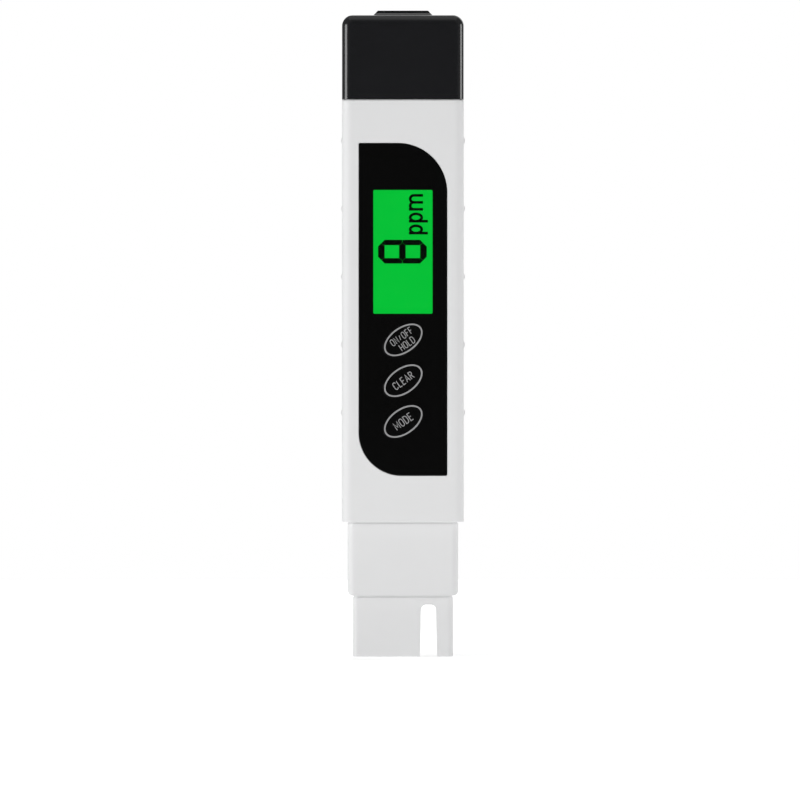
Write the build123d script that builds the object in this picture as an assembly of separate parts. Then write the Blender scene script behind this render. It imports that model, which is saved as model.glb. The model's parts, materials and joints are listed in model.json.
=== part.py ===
from build123d import *

import os

# Pocket conductivity tester for water: a white tube with a display and three keys, a slotted probe nose
# below, and a pull-off battery cap with a pocket clip on top.
#
# Millimetres. The tester stands on its nose: +Z runs up the body, the display faces -Y, and the origin is
# the middle of the nose's open rim. Each function below returns one piece, or one group of like pieces.

# ---------------------------------------------------------------- driving dimensions

# Overall size
WIDTH = 29.0
DEPTH = 14.0
TOTAL_HEIGHT = 154.0
EDGE_R = 2.2            # long edges of the body and of the battery cap

# Heights up the body
NOSE_TOP = 14.65        # where the nose meets the seat of the sensor cover
SHOULDER_Z = 32.2       # body's lower end, where the sensor cover stops
RIM_Z = 132.8           # body's upper end, where the battery cap starts
CAP_TOP = 152.85

# Cutting tools run this far past the faces that they cut
PAST = 1.0
TINY = 0.01

# Body tube
SIDE_WALL = 1.5
FRONT_WALL = 1.8
BACK_WALL = 1.5
CAVITY_R = 1.0
CAVITY_FRONT = -DEPTH / 2 + FRONT_WALL
CAVITY_BACK = DEPTH / 2 - BACK_WALL
CAVITY_WIDTH = WIDTH - 2 * SIDE_WALL
CAVITY_DEPTH = CAVITY_BACK - CAVITY_FRONT
CAVITY_MID_Y = (CAVITY_FRONT + CAVITY_BACK) / 2
RIM_R = 0.6             # rounding of the tube's upper end
SHOULDER_R = 0.12       # the tube's lower end is left nearly sharp
SOCKET_DEPTH = 8.0      # length of the probe head's plug inside the body
SOCKET_GAP = 0.02
RIB_COUNT = 5
RIB_PITCH = 16.2
RIB_LOW_Z = 58.2
RIB_PROUD = 0.25
RIB_HEIGHT = 1.6
RIB_LENGTH = 7.0

# Front panel and display window
PANEL_WIDTH = 21.0
PANEL_LOW = 43.2
PANEL_HIGH = 122.3
PANEL_LOW_SWEEP_R = 10.2        # lower left corner
PANEL_HIGH_SWEEP_R = 11.7       # upper right corner
PANEL_CORNER_R = 0.3
PANEL_EDGE_R = 0.15
PANEL_GAP = 0.08
PANEL_T = 0.8
ADHESIVE_T = 0.1
TAPE_INSET = 0.2
PANEL_FRONT = -DEPTH / 2
PANEL_BACK = PANEL_FRONT + PANEL_T
LEDGE_FRONT = PANEL_BACK + ADHESIVE_T
WINDOW_WIDTH = 14.05
WINDOW_LOW = 81.75
WINDOW_HIGH = 111.15
WINDOW_R = 0.3
WINDOW_GAP = 0.02

# Keys and their switches
KEY_Z = {"power": 75.5, "clear": 65.8, "mode": 56.1}
KEY_A = 5.4             # half axes of the oval
KEY_B = 3.25
KEY_TILT = 35.0
KEY_GAP = 0.1
KEY_PROUD = 0.1
KEY_EDGE_R = 0.08
FLANGE_LIP = 0.4
FLANGE_GAP = 0.15
FLANGE_FRONT = PANEL_BACK + 0.05
FLANGE_T = 0.5
STEM_R = 1.3
SWITCH_SIZE = 4.4
SWITCH_FRONT = -3.7
PLUNGER_R = 1.1
PLUNGER_GAP = 0.1
PLUNGER_FRONT = -4.3
PLUNGER_LENGTH = 1.15
PLUNGER_HOLE_DEPTH = 0.9

# Circuit board and the rails that hold its edges
BOARD_FRONT = -2.4
BOARD_T = 1.0
BOARD_BACK = BOARD_FRONT + BOARD_T
BOARD_WIDTH = 25.2
BOARD_LOW = 42.1
BOARD_HIGH = 125.9
BOARD_CORNER_R = 0.6
NOTCH_WIDTH = 1.4
NOTCH_HEIGHT = 2.4
RAIL_REACH = 0.8
RAIL_T = 0.85
RAIL_GAP = 0.05

# Chips on the board's back
BLOB_Z = 96.0
BLOB_R = 5.0
BLOB_HEIGHT = 1.4
CRYSTAL_X = 7.5
CRYSTAL_R = 1.0
CRYSTAL_LOW = 106.0
CRYSTAL_HIGH = 112.0
AMPLIFIER_LOW = 58.0
AMPLIFIER_SIZE = (5.0, 1.4, 4.0)
RESISTOR_SIZE = (1.6, 0.5, 0.8)
RESISTOR_ROWS = ((-6.0, 52.0, 2.4, 8), (-9.0, 84.0, 2.4, 4))        # x, first z, pitch, count
CAPACITOR_SIZE = (2.0, 0.9, 1.25)
CAPACITOR_ROWS = ((6.5, 54.0, 3.0, 6), (-7.0, 106.0, 3.0, 3))

# Display stack, front to back
LCD_WIDTH = 17.6
LCD_LOW = 80.9
FRONT_GLASS_HIGH = 115.0
REAR_GLASS_HIGH = 112.6
LCD_FRONT = LEDGE_FRONT
POLARISER_T = 0.2
GLASS_T = 0.7
LIGHT_GUIDE_T = 1.4
REFLECTOR_T = 0.2
LCD_BORDER = 0.3
LCD_OPENING_GAP = 0.2
FRAME_FRONT = LCD_FRONT + POLARISER_T + GLASS_T
FRAME_WIDTH = 19.2
FRAME_LOW = 79.6
FRAME_HIGH = 116.2
FRAME_GAP = 0.05
STRIP_LOW = 113.0
STRIP_HIGH = 114.8
STRIP_LENGTH = 15.0
LED_X = 4.0
LED_SIZE = (3.0, 1.4, 1.6)
LED_LOW = 79.2
LED_GAP = 0.1

# Probe head
SEAT_WIDTH = 26.3
SEAT_DEPTH = 11.3
SEAT_R = 1.6
SEAT_FOOT_R = 1.1
GROOVE_HEIGHT = 0.5     # fine grooves below the shoulder and below the seat
GROOVE_DEPTH = 0.18
HEAD_WALL = 1.35
HEAD_INNER_R = 0.6
HEAD_FLOOR = 15.6
PLUG_TOP = SHOULDER_Z + SOCKET_DEPTH
NOSE_WIDTH = 23.9
NOSE_DEPTH = 8.9
NOSE_R = 1.3
NOSE_RIM_R = 0.3
NOSE_WALL = 1.2
NOSE_OVERLAP = 0.5
CHAMBER_TOP = 13.2
SLOT_X = 6.1
SLOT_WIDTH_LOW = 4.1
SLOT_WIDTH_HIGH = 3.55
SLOT_TOP = 12.45
SLOT_R = 1.3
EPOXY_TOP = 24.0
SEAL_Z = 35.0
SEAL_T = 1.2
SEAL_INSET = 0.6
ELECTRODE_X = {"left": -7.2, "right": -0.6}
ELECTRODE_R = 1.0
ELECTRODE_LOW = 2.0
ELECTRODE_HIGH = 27.0
ELECTRODE_TIP_R = 0.6
THERMISTOR_X = -3.9
THERMISTOR_R = 1.3
THERMISTOR_LOW = 3.5
THERMISTOR_HIGH = 26.0
THERMISTOR_TIP_R = 1.1
LEAD_R = 0.45
LEAD_BEND_R = 2.0
LEAD_PAD_X = (-7.8, -3.0, 2.0)
LEAD_STRAIGHT_TOP = 32.0
LEAD_BOARD_LOW = 38.0
LEAD_TOP = 46.0

# Battery carrier, cells and contacts
NECK_WIDTH = 26.3
NECK_DEPTH = 11.3
NECK_R = 1.4
NECK_TOP = 149.6
NECK_TOP_R = 0.4
CARRIER_LOW = 127.0
CARRIER_GAP = 0.1
CARRIER_WALL = 1.2
CARRIER_R = 0.9
CARRIER_ROOF = 131.9
CELL_R = 5.8
CELL_T = 5.4
CELL_EDGE_R = 0.35
CELL_LID_R = 4.7
CELL_STEP = 0.5         # how far the lid stands out of the can
CELL_GROOVE = 0.35      # width of the insulating ring round the lid
CELL_GROOVE_DEPTH = 0.3
CELL_X = {"left": -6.3, "right": 6.3}
CELL_Z = 140.4
POCKET_R = 5.95
CONTACT_T = 0.3
POCKET_HALF = CELL_T / 2 + CONTACT_T
PEEP_R = 4.0            # round holes in front of the cells
BRIDGE_LOW = 143.6
BRIDGE_HIGH = 146.8
BRIDGE_HALF = 8.9
CONTACT_WIDTH = 4.0
CONTACT_TOP = CELL_Z + 4.8
CONTACT_FOOT = 123.6
CONTACT_GAP = 0.05
CAP_SEAL_LOW = 133.6
CAP_SEAL_HIGH = 134.8
CAP_SEAL_DEPTH = 0.5
CAP_SEAL_PROUD = 0.05

# Battery cap and pocket clip
CAP_WALL = 1.2
CAP_ROOF = 1.3
CAP_CORNER_R = 2.6
CAP_INNER_R = 1.4
PAD_T = 0.55            # low pad on the cap that carries the clip
PAD_FRONT = -3.3
PAD_BACK = 4.5
CLIP_WIDTH = 13.1
CLIP_TOP_WIDTH = 12.0
CLIP_FRONT = -3.0
CLIP_T = TOTAL_HEIGHT - CAP_TOP - PAD_T
CLIP_GAP = 1.5          # between the arm and the body's back, at the bend
CLIP_BEND_R = 2.6       # inside of the bend
CLIP_TOE_R = 6.0
CLIP_TOE_Z = 111.0      # where the arm comes closest to the body
CLIP_TOE_GAP = 0.25
CLIP_LOW = 106.0
CLIP_KICK = 1.6         # how far the tip stands out beyond the toe
CLIP_TIP_R = 3.5
CLIP_SPLIT = 0.4        # slit at the bend that lets the arm swing
CLIP_SPLIT_ANGLE = 45.0


# ---------------------------------------------------------------- helpers

def upright(width, depth, low, high, radius, mid_y=0.0):
    """A prism along Z with rounded upright edges."""
    return Pos(0, mid_y, low) * extrude(RectangleRounded(width, depth, radius), high - low)


def block(x_low, x_high, y_low, y_high, z_low, z_high):
    """A plain box from its six limits."""
    size = (x_high - x_low, y_high - y_low, z_high - z_low)
    middle = ((x_low + x_high) / 2, (y_low + y_high) / 2, (z_low + z_high) / 2)
    return Pos(*middle) * Box(*size)


def plate(outline, front, back):
    """A flat sheet facing -Y: the outline is drawn in X and Z."""
    return extrude(Plane.XZ.offset(-back) * outline, back - front)


def rod_along_y(radius, front, back, x, z):
    """A round rod from front to back."""
    return Pos(x, (front + back) / 2, z) * Rot(90, 0, 0) * Cylinder(radius, back - front)


def rod_along_z(radius, low, high, x, y=0.0):
    """A round rod from low to high."""
    return Pos(x, y, (low + high) / 2) * Cylinder(radius, high - low)


def edges_at(shape, axis, place):
    """The edges that lie at one place along an axis."""
    return shape.edges().filter_by_position(axis, place, place)


def front_rectangle(width, low, high, radius=0.0):
    """A rectangle in X and Z, centred on the body."""
    height = high - low
    shape = RectangleRounded(width, height, radius) if radius else Rectangle(width, height)
    return Pos(0, (low + high) / 2) * shape


def panel_outline(grow=0.0):
    """The panel's leaf shape: two opposite corners are swept, two are nearly sharp."""
    leaf = front_rectangle(PANEL_WIDTH + 2 * grow, PANEL_LOW - grow, PANEL_HIGH + grow)
    rising = Axis((0, 0, 0), (1, 1, 0))
    leaf = fillet(leaf.vertices().sort_by(rising)[:1], PANEL_LOW_SWEEP_R + grow)
    leaf = fillet(leaf.vertices().sort_by(rising)[-1:], PANEL_HIGH_SWEEP_R + grow)
    corners = leaf.vertices().sort_by(Axis((0, 0, 0), (1, -1, 0)))
    return fillet([corners[0], corners[-1]], PANEL_CORNER_R + grow)


def window_outline(grow=0.0):
    """The display window seen from the front."""
    width = WINDOW_WIDTH + 2 * grow
    return front_rectangle(width, WINDOW_LOW - grow, WINDOW_HIGH + grow, WINDOW_R + grow)


def key_outline(z, grow=0.0):
    """One tilted oval."""
    return Pos(0, z) * Rot(0, 0, KEY_TILT) * Ellipse(KEY_A + grow, KEY_B + grow)


def cut_display_and_keys(shape, front, back):
    """Clearance for the display glass and for the keys' flanges."""
    gap = LCD_OPENING_GAP
    glass = front_rectangle(LCD_WIDTH + 2 * gap, LCD_LOW - gap, FRONT_GLASS_HIGH + gap)
    shape -= plate(glass, front, back)
    for z in KEY_Z.values():
        shape -= plate(key_outline(z, FLANGE_LIP + FLANGE_GAP), front, back)
    return shape


# ---------------------------------------------------------------- body

def side_ribs():
    """Small grip ribs on each side wall, each a shallow arc in section."""
    arc_r = (RIB_HEIGHT ** 2 / 4 + RIB_PROUD ** 2) / (2 * RIB_PROUD)
    ribs = []
    for index in range(RIB_COUNT):
        z = RIB_LOW_Z + index * RIB_PITCH
        for side in (-1, 1):
            centre_x = side * (WIDTH / 2 + RIB_PROUD - arc_r)
            rod = rod_along_y(arc_r, -RIB_LENGTH / 2, RIB_LENGTH / 2, centre_x, z)
            keep = Pos(side * WIDTH / 2, 0, z) * Box(2 * RIB_PROUD, DEPTH, 2 * RIB_HEIGHT)
            ribs.append(rod & keep)
    return ribs


def board_rails():
    """Two rails on each inner side wall, with the board's edge between them."""
    rails = []
    for side in (-1, 1):
        wall = side * (CAVITY_WIDTH / 2 + SIDE_WALL / 2)
        edge = side * (CAVITY_WIDTH / 2 - RAIL_REACH)
        x_low, x_high = sorted((wall, edge))
        for front in (BOARD_FRONT - RAIL_GAP - RAIL_T, BOARD_BACK + RAIL_GAP):
            rails.append(block(x_low, x_high, front, front + RAIL_T, BOARD_LOW, BOARD_HIGH))
    return rails


def housing():
    """White tube: open at both ends, recessed for the panel, with openings for the glass and the keys."""
    outer = upright(WIDTH, DEPTH, SHOULDER_Z, RIM_Z, EDGE_R)
    tube = fillet(edges_at(outer, Axis.Z, RIM_Z), RIM_R)
    tube = fillet(edges_at(tube, Axis.Z, SHOULDER_Z), SHOULDER_R)
    tube -= upright(CAVITY_WIDTH, CAVITY_DEPTH, SHOULDER_Z - PAST, RIM_Z + PAST, CAVITY_R, CAVITY_MID_Y)
    socket_width = SEAT_WIDTH + 2 * SOCKET_GAP
    socket_depth = SEAT_DEPTH + 2 * SOCKET_GAP
    tube -= upright(socket_width, socket_depth, SHOULDER_Z - PAST, PLUG_TOP, SEAT_R)
    tube += board_rails()
    tube += side_ribs()
    tube -= plate(panel_outline(PANEL_GAP), PANEL_FRONT - PAST, LEDGE_FRONT)
    return cut_display_and_keys(tube, LEDGE_FRONT - PAST, CAVITY_FRONT + PAST / 2)


# ---------------------------------------------------------------- front panel

def front_panel():
    """Black glossy plate with a window and three oval key holes."""
    panel = plate(panel_outline(), PANEL_FRONT, PANEL_BACK)
    panel = fillet(edges_at(panel, Axis.Y, PANEL_FRONT), PANEL_EDGE_R)
    panel -= plate(window_outline(WINDOW_GAP), PANEL_FRONT - PAST, PANEL_BACK + PAST)
    for z in KEY_Z.values():
        panel -= plate(key_outline(z, KEY_GAP), PANEL_FRONT - PAST, PANEL_BACK + PAST)
    return panel


def panel_adhesive():
    """Die-cut double-sided tape that holds the panel in its recess."""
    tape = plate(panel_outline(-TAPE_INSET), PANEL_BACK, LEDGE_FRONT)
    return cut_display_and_keys(tape, PANEL_BACK - PAST, LEDGE_FRONT + PAST)


def display_window():
    """Clear plate flush in the panel."""
    return plate(window_outline(), PANEL_FRONT, PANEL_BACK)


def key(z):
    """Oval key: cap through the panel, flange behind it, and a stem that reaches the switch."""
    face = PANEL_FRONT - KEY_PROUD
    flange_back = FLANGE_FRONT + FLANGE_T
    cap = plate(key_outline(z), face, FLANGE_FRONT)
    cap = fillet(edges_at(cap, Axis.Y, face), KEY_EDGE_R)
    flange = plate(key_outline(z, FLANGE_LIP), FLANGE_FRONT, flange_back)
    return cap + flange + rod_along_y(STEM_R, flange_back, PLUNGER_FRONT, 0, z)


# ---------------------------------------------------------------- display

def display_stack():
    """The display's flat layers, front to back, by name."""
    view = (LCD_WIDTH - 2 * LCD_BORDER, LCD_LOW + LCD_BORDER, REAR_GLASS_HIGH - LCD_BORDER)
    layers = (
        ("front_polariser", POLARISER_T, view),
        ("lcd_front_glass", GLASS_T, (LCD_WIDTH, LCD_LOW, FRONT_GLASS_HIGH)),
        ("lcd_rear_glass", GLASS_T, (LCD_WIDTH, LCD_LOW, REAR_GLASS_HIGH)),
        ("rear_polariser", POLARISER_T, view),
        ("backlight_guide", LIGHT_GUIDE_T, view),
        ("backlight_reflector", REFLECTOR_T, view),
    )
    front = LCD_FRONT
    pieces = {}
    for name, thickness, size in layers:
        pieces[name] = plate(front_rectangle(*size), front, front + thickness)
        front += thickness
    return pieces


def backlight_leds(gap=0.0):
    """Two side-firing lamps under the light guide, or their pockets where gap is above 0."""
    width, depth, height = LED_SIZE
    front = BOARD_FRONT - depth - gap
    half = width / 2 + gap
    lamps = [block(x - half, x + half, front, BOARD_FRONT, LED_LOW - gap, LED_LOW + height + gap)
             for x in (-LED_X, LED_X)]
    return Compound(lamps)


def zebra_strip(gap=0.0):
    """Elastomer connector between the glass ledge and the board, or its slot where gap is above 0."""
    outline = front_rectangle(STRIP_LENGTH + 2 * gap, STRIP_LOW - gap, STRIP_HIGH + gap)
    return plate(outline, FRAME_FRONT, BOARD_FRONT)


def lcd_frame():
    """Moulded frame that holds the display stack on the board."""
    frame = plate(front_rectangle(FRAME_WIDTH, FRAME_LOW, FRAME_HIGH), FRAME_FRONT, BOARD_FRONT)
    pocket_width = LCD_WIDTH + 2 * FRAME_GAP
    pocket = front_rectangle(pocket_width, LCD_LOW - FRAME_GAP, REAR_GLASS_HIGH + FRAME_GAP)
    frame -= plate(pocket, FRAME_FRONT - PAST, BOARD_FRONT + PAST)
    frame -= zebra_strip(FRAME_GAP)
    return frame - backlight_leds(LED_GAP)


# ---------------------------------------------------------------- electronics

def circuit_board():
    """Board that slides into the body's rails, with two corner notches at its lower end."""
    outline = front_rectangle(BOARD_WIDTH, BOARD_LOW, BOARD_HIGH, BOARD_CORNER_R)
    board = plate(outline, BOARD_FRONT, BOARD_BACK)
    for side in (-1, 1):
        x_low, x_high = sorted((side * (BOARD_WIDTH / 2 - NOTCH_WIDTH), side * BOARD_WIDTH))
        notch_top = BOARD_LOW + NOTCH_HEIGHT
        board -= block(x_low, x_high, BOARD_FRONT - PAST, BOARD_BACK + PAST, BOARD_LOW - PAST, notch_top)
    return board


def switch_bodies():
    """Three tactile switches, one behind each key."""
    half = SWITCH_SIZE / 2
    hole_back = SWITCH_FRONT + PLUNGER_HOLE_DEPTH
    bodies = []
    for z in KEY_Z.values():
        body = block(-half, half, SWITCH_FRONT, BOARD_FRONT, z - half, z + half)
        bodies.append(body - rod_along_y(PLUNGER_R + PLUNGER_GAP, SWITCH_FRONT - PAST, hole_back, 0, z))
    return Compound(bodies)


def switch_plunger(z):
    """The round button of one switch."""
    return rod_along_y(PLUNGER_R, PLUNGER_FRONT, PLUNGER_FRONT + PLUNGER_LENGTH, 0, z)


def controller_blob():
    """Epoxy dome over the bare controller chip."""
    ball_r = (BLOB_R ** 2 + BLOB_HEIGHT ** 2) / (2 * BLOB_HEIGHT)
    ball = Pos(0, BOARD_BACK + BLOB_HEIGHT - ball_r, BLOB_Z) * Sphere(ball_r)
    return ball & rod_along_y(2 * BLOB_R, BOARD_BACK, BOARD_BACK + 2 * BLOB_HEIGHT, 0, BLOB_Z)


def clock_crystal():
    """Small round can lying on the board."""
    return rod_along_z(CRYSTAL_R, CRYSTAL_LOW, CRYSTAL_HIGH, CRYSTAL_X, BOARD_BACK + CRYSTAL_R)


def chip(size, x, z):
    """One rectangular package on the board's back, with its lower edge at z."""
    width, depth, height = size
    return block(x - width / 2, x + width / 2, BOARD_BACK, BOARD_BACK + depth, z, z + height)


def chip_rows(size, rows):
    """Columns of like chips."""
    return Compound([chip(size, x, first + index * pitch)
                     for x, first, pitch, count in rows
                     for index in range(count)])


# ---------------------------------------------------------------- probe head

def head_pins():
    """Radius and place of the three round pins that pass through the probe head."""
    pins = [(ELECTRODE_R, x) for x in ELECTRODE_X.values()]
    return pins + [(THERMISTOR_R, THERMISTOR_X)]


def slot_outline():
    """Tapered slot with a rounded top, open at the nose's rim."""
    slope = (SLOT_WIDTH_LOW - SLOT_WIDTH_HIGH) / 2 / SLOT_TOP
    half_low = SLOT_WIDTH_LOW / 2 + PAST * slope
    half_high = SLOT_WIDTH_HIGH / 2
    points = [(-half_low, -PAST), (half_low, -PAST), (half_high, SLOT_TOP), (-half_high, SLOT_TOP)]
    face = make_face(Polyline(points, close=True))
    return Pos(SLOT_X, 0) * fillet(face.vertices().sort_by(Axis.Y)[-2:], SLOT_R)


def head_interior(low, high):
    """The room inside the seat and the plug."""
    return upright(SEAT_WIDTH - 2 * HEAD_WALL, SEAT_DEPTH - 2 * HEAD_WALL, low, high, HEAD_INNER_R)


def fine_groove(top, width, depth, radius):
    """A shallow groove round an upright block, ending at a height."""
    low = top - GROOVE_HEIGHT
    core_width = width - 2 * GROOVE_DEPTH
    core_depth = depth - 2 * GROOVE_DEPTH
    outside = upright(WIDTH, DEPTH, low, top, EDGE_R)
    return outside - upright(core_width, core_depth, low - PAST, top + PAST, radius - GROOVE_DEPTH)


def probe_head():
    """White moulding: slotted nose, seat for the sensor cover, and a plug that goes into the body."""
    seat = upright(SEAT_WIDTH, SEAT_DEPTH, NOSE_TOP, PLUG_TOP, SEAT_R)
    silhouette = front_rectangle(SEAT_WIDTH, NOSE_TOP, PLUG_TOP)
    silhouette = fillet(silhouette.vertices().sort_by(Axis.Y)[:2], SEAT_FOOT_R)
    seat &= plate(silhouette, -SEAT_DEPTH, SEAT_DEPTH)
    nose = upright(NOSE_WIDTH, NOSE_DEPTH, 0, NOSE_TOP + NOSE_OVERLAP, NOSE_R)
    nose = fillet(edges_at(nose, Axis.Z, 0), NOSE_RIM_R)
    head = seat + nose
    head -= fine_groove(SHOULDER_Z, SEAT_WIDTH, SEAT_DEPTH, SEAT_R)
    head -= fine_groove(NOSE_TOP, NOSE_WIDTH, NOSE_DEPTH, NOSE_R)
    chamber_width = NOSE_WIDTH - 2 * NOSE_WALL
    chamber_depth = NOSE_DEPTH - 2 * NOSE_WALL
    head -= upright(chamber_width, chamber_depth, -PAST, CHAMBER_TOP, HEAD_INNER_R)
    head -= plate(slot_outline(), -DEPTH, DEPTH)
    head -= head_interior(HEAD_FLOOR, PLUG_TOP + PAST)
    for radius, x in head_pins():
        head -= rod_along_z(radius, CHAMBER_TOP - PAST, HEAD_FLOOR + PAST, x)
    return head - head_seal()


def head_seal():
    """Rubber ring in the plug's groove."""
    ring = upright(SEAT_WIDTH, SEAT_DEPTH, SEAL_Z, SEAL_Z + SEAL_T, SEAT_R)
    core_width = SEAT_WIDTH - 2 * SEAL_INSET
    core_depth = SEAT_DEPTH - 2 * SEAL_INSET
    return ring - upright(core_width, core_depth, SEAL_Z - PAST, SEAL_Z + SEAL_T + PAST, SEAT_R - SEAL_INSET)


def sealing_epoxy():
    """Potting that fills the bottom of the head round the pins."""
    fill = head_interior(HEAD_FLOOR, EPOXY_TOP)
    for radius, x in head_pins():
        fill -= rod_along_z(radius, HEAD_FLOOR - PAST, EPOXY_TOP + PAST, x)
    return fill


def round_tipped_pin(radius, low, high, x, tip_r):
    """A pin with a rounded lower end."""
    pin = rod_along_z(radius, low, high, x)
    return fillet(edges_at(pin, Axis.Z, low), tip_r)


def probe_leads():
    """Insulated leads from the three pins up to the board's back."""
    starts = (
        (ELECTRODE_X["left"], ELECTRODE_HIGH),
        (THERMISTOR_X, THERMISTOR_HIGH),
        (ELECTRODE_X["right"], ELECTRODE_HIGH),
    )
    pad_y = BOARD_BACK + LEAD_R
    leads = []
    for (pin_x, pin_top), pad_x in zip(starts, LEAD_PAD_X):
        path = FilletPolyline(
            (pin_x, 0, pin_top),
            (pin_x, 0, LEAD_STRAIGHT_TOP),
            (pad_x, pad_y, LEAD_BOARD_LOW),
            (pad_x, pad_y, LEAD_TOP),
            radius=LEAD_BEND_R,
        )
        section = Plane(origin=path @ 0, z_dir=path % 0) * Circle(LEAD_R)
        leads.append(sweep(section, path))
    return Compound(leads)


# ---------------------------------------------------------------- battery end

def pocket_outline(x):
    """A cell's pocket seen from the front: round below, open at the top."""
    mouth_top = NECK_TOP + PAST
    bowl = Pos(x, CELL_Z) * Circle(POCKET_R)
    mouth = Pos(x, (CELL_Z + mouth_top) / 2) * Rectangle(2 * POCKET_R, mouth_top - CELL_Z)
    return bowl + mouth


def battery_carrier():
    """Holder for two button cells: a plug in the body's top and a neck that the cap slides over."""
    neck = upright(NECK_WIDTH, NECK_DEPTH, RIM_Z, NECK_TOP, NECK_R)
    neck = fillet(edges_at(neck, Axis.Z, NECK_TOP), NECK_TOP_R)
    plug_width = CAVITY_WIDTH - 2 * CARRIER_GAP
    plug_depth = CAVITY_DEPTH - 2 * CARRIER_GAP
    plug = upright(plug_width, plug_depth, CARRIER_LOW, RIM_Z, CARRIER_R, CAVITY_MID_Y)
    hollow_width = plug_width - 2 * CARRIER_WALL
    hollow_depth = plug_depth - 2 * CARRIER_WALL
    plug -= upright(hollow_width, hollow_depth, CARRIER_LOW - PAST, CARRIER_ROOF, CARRIER_R / 2, CAVITY_MID_Y)
    carrier = neck + plug
    half = CONTACT_WIDTH / 2 + CONTACT_GAP
    for x in CELL_X.values():
        carrier -= plate(pocket_outline(x), -POCKET_HALF, POCKET_HALF)
        carrier -= rod_along_y(PEEP_R, -DEPTH, 0, x, CELL_Z)
        carrier -= block(x - half, x + half, CELL_T / 2, POCKET_HALF, CARRIER_ROOF - PAST, CELL_Z)
    bridge_half = BRIDGE_HALF + CONTACT_GAP
    carrier -= block(-bridge_half, bridge_half, -POCKET_HALF, -CELL_T / 2, BRIDGE_LOW, NECK_TOP + PAST)
    return carrier - cap_seal()


def button_cell(name):
    """One button cell: a can with a stepped lid. The two cells face opposite ways."""
    half = CELL_T / 2
    lid_base = -half + CELL_STEP
    groove_back = lid_base + CELL_GROOVE_DEPTH
    can = rod_along_y(CELL_R, lid_base, half, 0, 0)
    can = fillet(can.edges().filter_by(GeomType.CIRCLE), CELL_EDGE_R)
    can -= rod_along_y(CELL_LID_R + CELL_GROOVE, lid_base - PAST, groove_back, 0, 0)
    lid = rod_along_y(CELL_LID_R, -half, groove_back, 0, 0)
    lid = fillet(edges_at(lid, Axis.Y, -half), CELL_EDGE_R)
    turn = 0 if name == "left" else 180
    return Pos(CELL_X[name], 0, CELL_Z) * Rot(0, 0, turn) * (can + lid)


def contact_bridge():
    """Strip that joins the two cells at the front."""
    return block(-BRIDGE_HALF, BRIDGE_HALF, -POCKET_HALF, -CELL_T / 2, BRIDGE_LOW, BRIDGE_HIGH)


def cell_contact(x):
    """Strip behind one cell, bent forward to the board at its foot."""
    back = POCKET_HALF
    front = CELL_T / 2
    foot_top = CONTACT_FOOT + CONTACT_T
    points = [
        (back, CONTACT_TOP), (front, CONTACT_TOP), (front, foot_top),
        (BOARD_BACK, foot_top), (BOARD_BACK, CONTACT_FOOT), (back, CONTACT_FOOT),
    ]
    section = make_face(Polyline([(0, y, z) for y, z in points], close=True))
    return Pos(x, 0, 0) * extrude(section, CONTACT_WIDTH / 2, dir=(1, 0, 0), both=True)


def cap_seal():
    """Rubber ring at the foot of the neck."""
    width = NECK_WIDTH + 2 * CAP_SEAL_PROUD
    depth = NECK_DEPTH + 2 * CAP_SEAL_PROUD
    ring = upright(width, depth, CAP_SEAL_LOW, CAP_SEAL_HIGH, NECK_R + CAP_SEAL_PROUD)
    core_width = NECK_WIDTH - 2 * CAP_SEAL_DEPTH
    core_depth = NECK_DEPTH - 2 * CAP_SEAL_DEPTH
    return ring - upright(core_width, core_depth, CAP_SEAL_LOW - PAST, CAP_SEAL_HIGH + PAST,
                          NECK_R - CAP_SEAL_DEPTH)


# ---------------------------------------------------------------- cap and clip

def cap_block():
    """The cap's outer shape: rounded top corners, and softened front and back outlines."""
    height = CAP_TOP - RIM_Z
    face = Pos(0, RIM_Z + height / 2) * Rectangle(WIDTH, height)
    face = fillet(face.vertices().sort_by(Axis.Y)[-2:], CAP_CORNER_R)
    shape = plate(face, -DEPTH / 2, DEPTH / 2)
    for y in (-DEPTH / 2, DEPTH / 2):
        outline = edges_at(shape, Axis.Y, y)
        shape = fillet([edge for edge in outline if edge.center().Z > RIM_Z + TINY], EDGE_R)
    return shape


def battery_cap():
    """Black cap, hollow below, with a low pad on top for the clip."""
    pad_top = CAP_TOP + PAD_T
    pad = block(-CLIP_WIDTH / 2, CLIP_WIDTH / 2, PAD_FRONT, PAD_BACK, CAP_TOP - PAD_T, pad_top)
    front_edge = edges_at(pad, Axis.Z, pad_top).sort_by(Axis.Y)[:1]
    pad = chamfer(front_edge, 0.9 * PAD_T)
    cavity_width = WIDTH - 2 * CAP_WALL
    cavity_depth = DEPTH - 2 * CAP_WALL
    cavity = upright(cavity_width, cavity_depth, RIM_Z - PAST, CAP_TOP - CAP_ROOF, CAP_INNER_R)
    return cap_block() + pad - cavity


def clip_path():
    """Centre line of the clip: foot, bend, arm leaning in to its toe, and the tip kicked out."""
    half = CLIP_T / 2
    foot_z = TOTAL_HEIGHT - half
    arm_y = DEPTH / 2 + CLIP_GAP + half
    toe_y = DEPTH / 2 + CLIP_TOE_GAP + half
    route = [(CLIP_FRONT, foot_z), (arm_y, foot_z), (toe_y, CLIP_TOE_Z), (toe_y + CLIP_KICK, CLIP_LOW)]
    return FilletPolyline(*[(0, y, z) for y, z in route], radius=[CLIP_BEND_R + half, CLIP_TOE_R])


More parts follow.
